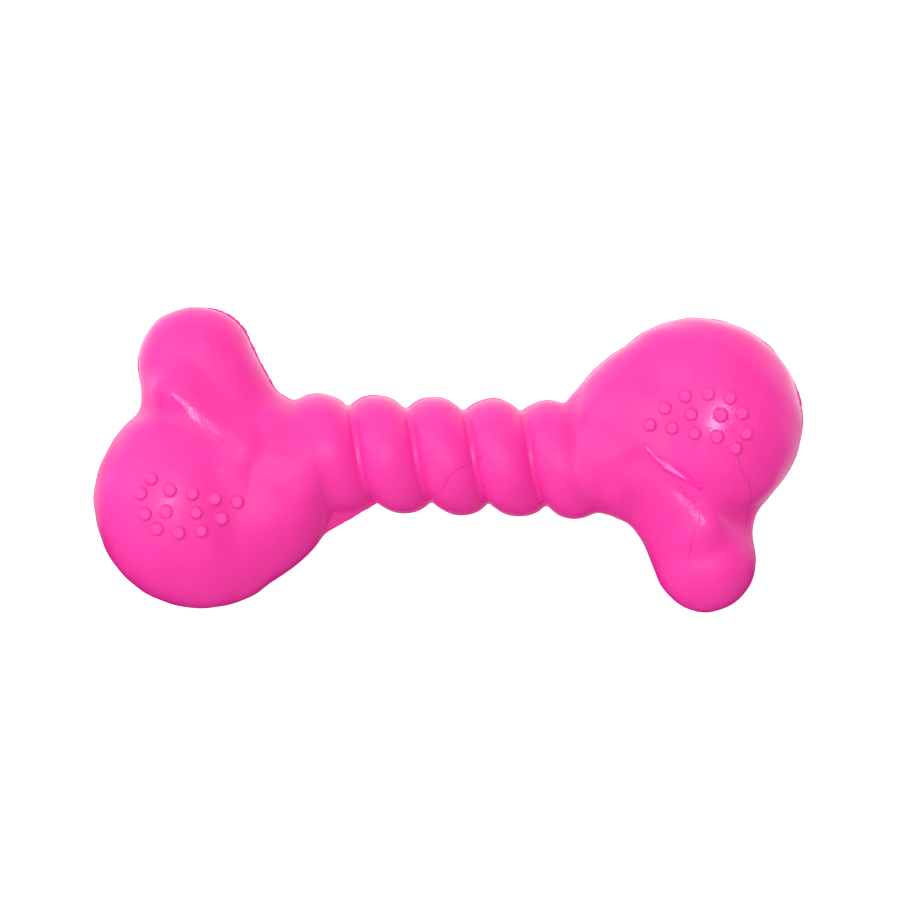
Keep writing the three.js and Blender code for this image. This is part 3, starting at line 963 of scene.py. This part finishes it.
def squeaker_plastic():
    """Natural moulded plastic, slightly cloudy and finely grained."""
    material, nodes = new_finish("squeaker_plastic")
    place = nodes.add("TexCoord", None, None, "Object")
    cloud = noise(nodes, place, PLASTIC_CLOUD_SIZE, FINE_DETAIL)
    grain = noise(nodes, place, PLASTIC_GRAIN_SIZE)
    colour = mixed_colour(nodes, cloud, PLASTIC_CLOUDY, PLASTIC_CLEAR)
    bump_sockets = {
        "Strength": PLASTIC_GRAIN_STRENGTH,
        "Distance": PLASTIC_GRAIN_DEPTH * MM,
        "Height": grain,
    }
    shader = nodes.add("BsdfPrincipled", None, {
        "Base Color": colour,
        "Roughness": PLASTIC_ROUGHNESS + cloud * CLOUDY_ROUGHNESS,
        "Normal": nodes.add("Bump", None, bump_sockets),
    })
    nodes.add("OutputMaterial", None, {"Surface": shader})
    return material


def reed_film():
    """Glossy amber film with fine drawing lines along it."""
    material, nodes = new_finish("reed_film")
    place = nodes.add("TexCoord", None, None, "Object")
    lines = nodes.add("TexNoise", None, {"Vector": stretched(nodes, place, FILM_LINE_SIZES), "Scale": 1.0})
    colour = mixed_colour(nodes, lines, FILM_DARK, FILM_PALE)
    roughness = FILM_ROUGHNESS + lines * LINED_ROUGHNESS
    shader = nodes.add("BsdfPrincipled", None, {"Base Color": colour, "Roughness": roughness})
    nodes.add("OutputMaterial", None, {"Surface": shader})
    return material


def mark_wear(piece):
    """Marks how far points are worn smooth: on crests, bars and groove floors, and among the nubs."""
    places = np.empty(len(piece.data.vertices) * 3, np.float32)
    piece.data.vertices.foreach_get("co", places)
    x, y, z = (places.reshape(-1, 3).astype(float) / MM - SHIFT).T
    worn = GROOVE_POLISH * in_groove(x, y, z, EDGE_ROUND)
    for end in ENDS:
        for patch in (end.crest, end.shoulder_bar):
            apart, half_width = beside(x, y, patch.path)
            past = np.maximum(apart - half_width, 0)
            worn = np.maximum(worn, patch.polish * np.exp(-(past / WEAR_FADE) ** 2) * (z > 0))
        apart = np.hypot(x - end.sheen.x, y - end.sheen.y)
        worn = np.maximum(worn, end.sheen.polish * np.exp(-(apart / end.sheen.reach) ** 2))
    for nub_x, nub_y, _ in NUB_SEATS:
        worn[np.hypot(x - nub_x, y - nub_y) < NUB_RADIUS] = 0
    attribute = piece.data.attributes.new("worn", "FLOAT", "POINT")
    attribute.data.foreach_set("value", worn.astype(np.float32))


# The dressed pieces

PLASTIC_BEVEL = 0.15
BEVEL_SEGMENTS = 2
SHARP_ANGLE = math.radians(60)

front_net = rubber_net(outer_skin, 1, SKIN_CELL)
back_net = rubber_net(outer_skin, -1, SKIN_CELL)
refine(front_net)
refine(back_net)
flash = mould_flash(seam_loop(front_net))
front = half_shell("front_rubber", front_net, 1)
back = half_shell("back_rubber", back_net, -1)
rubber = pink_rubber()
for piece in (front, back, flash):
    piece.data.set_sharp_from_angle(angle=SHARP_ANGLE)
    piece.data.materials.append(rubber)
    mark_wear(piece)
    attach(piece, "bone")
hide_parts("front_shell")
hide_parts("back_shell")

plastic = squeaker_plastic()
film = reed_film()
for node, finish in (("squeaker_body", plastic), ("reed_plug", plastic), ("reed", film)):
    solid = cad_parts[node]
    solid.data.materials.clear()
    solid.data.materials.append(finish)
    bevel = solid.modifiers.new("softened_edges", "BEVEL")
    bevel.width = PLASTIC_BEVEL * MM
    bevel.segments = BEVEL_SEGMENTS
    bevel.limit_method = "ANGLE"


# Floor, light and camera

FLOOR_SIZE = 6.0
FLOOR_WHITE = (0.82, 0.82, 0.82, 1)
# Apart from the camera, the floor has a painted shadow in front of the bone, and in reflections a painted
# glow behind it
FLOOR_SHADE = (0.7, 0.7, 0.7, 1)
FLOOR_GLOW = 0.75
SHADE_FROM, SHADE_TO = -10.0, -24.0
LIFT_FROM, LIFT_TO = 8.0, 24.0
FLOOR_GLEAM = 0.65
FLOOR_LIFT = 0.75
WORLD_LEVEL = 0.86
WORLD_LEAN = (-0.34, 0.08)
HORIZON_TOP = 0.4
HORIZON_FROM, HORIZON_TO = -0.35, 0.317
Softbox = namedtuple("Softbox", "name place size power")
SOFTBOXES = [
    Softbox("overhead_softbox", (-0.05, 0.05, 3.0), 0.5, 21.0),
    Softbox("left_softbox", (-0.9, 0.45, 0.9), 0.8, 3.0),
    Softbox("top_softbox", (0.1, 1.1, 0.8), 1.0, 1.0),
]


def white_floor():
    """White paper, lifted to plain white for the camera.

    Other rays see it darker in front of the bone, as a painted shadow, and reflections see it brighter behind
    the bone, as a painted glow that is no lamp.
    """
    material, nodes = new_finish("white_floor")
    place = nodes.add("TexCoord", None, None, "Object")
    across = nodes.add("SeparateXYZ", None, {0: place}, "Y")
    shade = across.ramp(SHADE_FROM * MM, SHADE_TO * MM)
    lift = across.ramp(LIFT_FROM * MM, LIFT_TO * MM)
    paper = nodes.add("BsdfDiffuse", None, {"Color": FLOOR_WHITE})
    # Painted shadow: the floor that lights the bone turns darker in front of it
    shaded = nodes.add("BsdfDiffuse", None, {"Color": mixed_colour(nodes, shade, FLOOR_WHITE, FLOOR_SHADE)})
    glow = nodes.add("Emission", None, {"Strength": FLOOR_GLOW})
    lifted = nodes.add("AddShader", None, {0: paper, 1: glow})
    # Painted glow: reflections see the floor brighter behind the bone and dark in front of it, though it is
    # no lamp
    gleam = nodes.add("Emission", None, {"Color": (1 - shade) * (FLOOR_GLEAM + lift * FLOOR_LIFT)})
    seen = nodes.add("LightPath", None, None, "Is Camera Ray")
    mirrored = nodes.add("LightPath", None, None, "Is Glossy Ray")
    unseen = nodes.add("MixShader", None, {0: mirrored, 1: shaded, 2: gleam})
    shown = nodes.add("MixShader", None, {0: seen, 1: unseen, 2: lifted})
    nodes.add("OutputMaterial", None, {"Surface": shown})
    half = FLOOR_SIZE / 2
    mesh = bpy.data.meshes.new("floor")
    corners = [(-half, -half, 0), (half, -half, 0), (half, half, 0), (-half, half, 0)]
    mesh.from_pydata(corners, [], [(0, 1, 2, 3)])
    mesh.materials.append(material)
    floor = bpy.data.objects.new("floor", mesh)
    bpy.context.scene.collection.objects.link(floor)


def white_world():
    """White to the camera, and otherwise a soft light that leans to one side.

    Reflections see only a pale horizon, beyond the bone.
    """
    world = bpy.data.worlds.new("white_world")
    bpy.context.scene.world = world
    world.use_nodes = True
    nodes = Nodes(world.node_tree)
    seen = nodes.add("LightPath", None, None, "Is Camera Ray")
    mirrored = nodes.add("LightPath", None, None, "Is Glossy Ray")
    heading = nodes.add("TexCoord", None, None, "Generated")
    aside = nodes.add("SeparateXYZ", None, {0: heading}, "X")
    ahead = nodes.add("SeparateXYZ", None, {0: heading}, "Y")
    up = nodes.add("SeparateXYZ", None, {0: heading}, "Z")
    horizon = up.ramp(HORIZON_TOP, 0) * ahead.ramp(HORIZON_FROM, HORIZON_TO)
    plain = WORLD_LEVEL + aside * WORLD_LEAN[0] + ahead * WORLD_LEAN[1]
    level = plain + seen * (1 - plain) + mirrored * (horizon - plain)
    sky = nodes.add("Background", None, {"Color": level})
    nodes.add("OutputWorld", None, {"Surface": sky})


def add_softbox(softbox):
    lamp = bpy.data.lights.new(softbox.name, "AREA")
    lamp.size = softbox.size
    lamp.energy = softbox.power
    lit = bpy.data.objects.new(softbox.name, lamp)
    lit.location = softbox.place
    lit.rotation_euler = (-Vector(softbox.place)).to_track_quat("-Z", "Y").to_euler()
    bpy.context.scene.collection.objects.link(lit)


CAMERA_DISTANCE = 2.6
PHOTO_WIDTH = 190.98 * MM
PHOTO_CENTRE = (-0.037, 1.239)
PHOTO_ROLL = math.radians(1.73)
SENSOR = 36.0


def add_camera():
    lens = bpy.data.cameras.new("camera")
    lens.sensor_width = SENSOR
    lens.lens = SENSOR * CAMERA_DISTANCE / PHOTO_WIDTH
    camera = bpy.data.objects.new("camera", lens)
    camera.location = (Vector(SHIFT) + Vector((*PHOTO_CENTRE, 0))) * MM + Vector((0, 0, CAMERA_DISTANCE))
    camera.rotation_euler = (0, 0, PHOTO_ROLL)
    bpy.context.scene.collection.objects.link(camera)
    bpy.context.scene.camera = camera


white_floor()
white_world()
for softbox in SOFTBOXES:
    add_softbox(softbox)
add_camera()
bpy.context.scene.view_settings.view_transform = "Standard"
